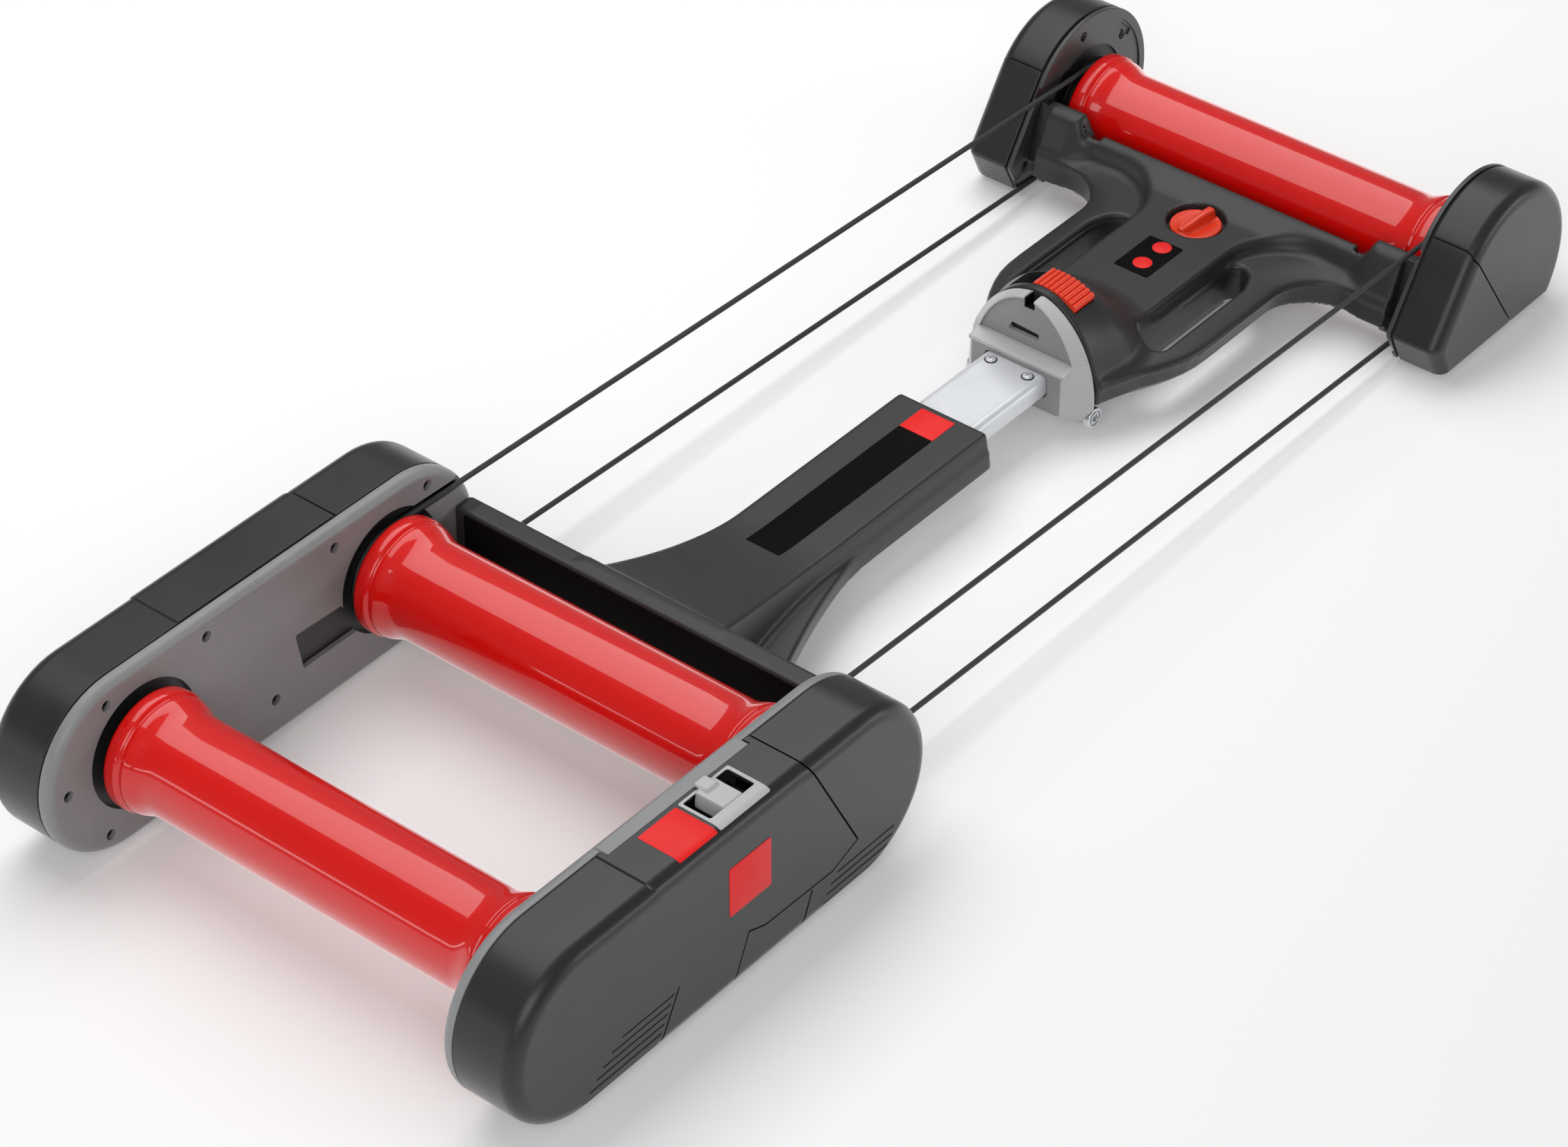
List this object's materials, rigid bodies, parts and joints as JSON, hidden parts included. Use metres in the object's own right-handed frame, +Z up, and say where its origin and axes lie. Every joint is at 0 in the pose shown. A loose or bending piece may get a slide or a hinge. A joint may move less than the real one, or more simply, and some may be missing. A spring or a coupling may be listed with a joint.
{
  "type": "bike rollers",
  "caption": "Training rollers for a bicycle: red flared drums in dark side modules, belt-driven front drum, telescoping beam and a front unit that folds under.",
  "frame": {"origin": "on the floor, under the middle of the whole object's box", "axes": "+X across to the side with the resistance lever, +Y forward from the two rear drums to the front drum, +Z up"},
  "size_m": [0.4918, 1.299, 0.1591],
  "materials": {
    "drum_red": "gloss",
    "cover_black": "satin",
    "inner_black": "satin",
    "frame_grey": "satin",
    "plate_grey": "satin",
    "hinge_grey": "powder coat",
    "tube_silver": "satin",
    "steel": "ground",
    "dark_steel": "blackened",
    "foot_rubber": "matte",
    "belt_rubber": "satin",
    "control_orange": "satin",
    "lever_grey": "satin",
    "brake_plate": "turned"
  },
  "bodies": {
    "rear_unit": {"rear_frame": "frame_grey", "left_side_plate": "plate_grey", "right_side_plate": "plate_grey", "left_rear_cover": "cover_black", "right_rear_cover": "cover_black", "left_nose_cover": "cover_black", "right_nose_cover": "cover_black", "left_axle_carrier": "inner_black", "right_axle_carrier": "inner_black", "rear_bearings": "steel", "cover_screws": "dark_steel", "frame_bolts": "dark_steel", "rear_feet": "foot_rubber", "tube_guides": "inner_black", "lever_panel": "lever_grey", "carrier_rod": "steel", "left_belt": "belt_rubber", "right_belt": "belt_rubber"},
    "rear_drum": {"rear_drum": "drum_red", "rear_drum_hubs": "inner_black", "rear_axle": "steel"},
    "middle_drum": {"middle_drum": "drum_red", "middle_drum_hubs": "inner_black", "middle_axle": "steel", "middle_pulleys": "inner_black", "brake_disc": "brake_plate"},
    "resistance": {"resistance_lever": "lever_grey", "magnet_carrier": "inner_black", "brake_magnets": "steel"},
    "slider": {"slide_tube": "tube_silver", "tube_end_plug": "inner_black", "tube_screws": "steel", "hinge_block": "hinge_grey", "hinge_pin": "steel"},
    "front_unit": {"front_frame": "frame_grey", "left_front_plate": "frame_grey", "right_front_plate": "frame_grey", "left_front_cover": "cover_black", "right_front_cover": "cover_black", "left_front_guard": "cover_black", "right_front_guard": "cover_black", "front_bearings": "steel", "front_screws": "dark_steel", "front_feet": "foot_rubber", "latch_spindle": "steel"},
    "front_drum": {"front_drum": "drum_red", "front_drum_hubs": "inner_black", "front_axle": "steel", "front_pulleys": "inner_black"},
    "fold_latch": {"fold_latch": "control_orange"},
    "lock_knob": {"lock_knob": "control_orange", "lock_cam": "inner_black"}
  },
  "joints": [
    {"name": "rear_drum_spin", "type": "hinge", "parent": "rear_unit", "child": "rear_drum", "pos_m": [0, -0.5565, 0.0792], "axis": [1, 0, 0], "continuous": true},
    {"name": "middle_drum_spin", "type": "hinge", "parent": "rear_unit", "child": "middle_drum", "pos_m": [0, -0.3039, 0.0792], "axis": [1, 0, 0], "continuous": true},
    {"name": "front_drum_spin", "type": "hinge", "parent": "front_unit", "child": "front_drum", "pos_m": [0, 0.5648, 0.0513], "axis": [1, 0, 0], "continuous": true},
    {"name": "resistance_slide", "type": "slide", "parent": "rear_unit", "child": "resistance", "axis": [0, 1, 0], "range_m": [-0.01, 0.01]},
    {"name": "wheelbase_slide", "type": "slide", "parent": "rear_unit", "child": "slider", "axis": [0, 1, 0], "range_m": [-0.03, 0.06], "deforming": ["left_belt", "right_belt"]},
    {"name": "front_fold", "type": "hinge", "parent": "slider", "child": "front_unit", "pos_m": [0, 0.2415, 0.018], "axis": [1, 0, 0], "range_deg": [-180, 0], "deforming": ["left_belt", "right_belt"]},
    {"name": "latch_turn", "type": "hinge", "parent": "front_unit", "child": "fold_latch", "pos_m": [0, 0.2625, 0.05], "axis": [0, 1, 0], "range_deg": [-24, 0]},
    {"name": "knob_turn", "type": "hinge", "parent": "front_unit", "child": "lock_knob", "pos_m": [0, 0.4602, 0.064], "axis": [0, 0, 1], "range_deg": [0, 90]}
  ],
  "couplings": [
    {"joint": "front_drum_spin", "follows": "middle_drum_spin", "ratio": 1}
  ]
}
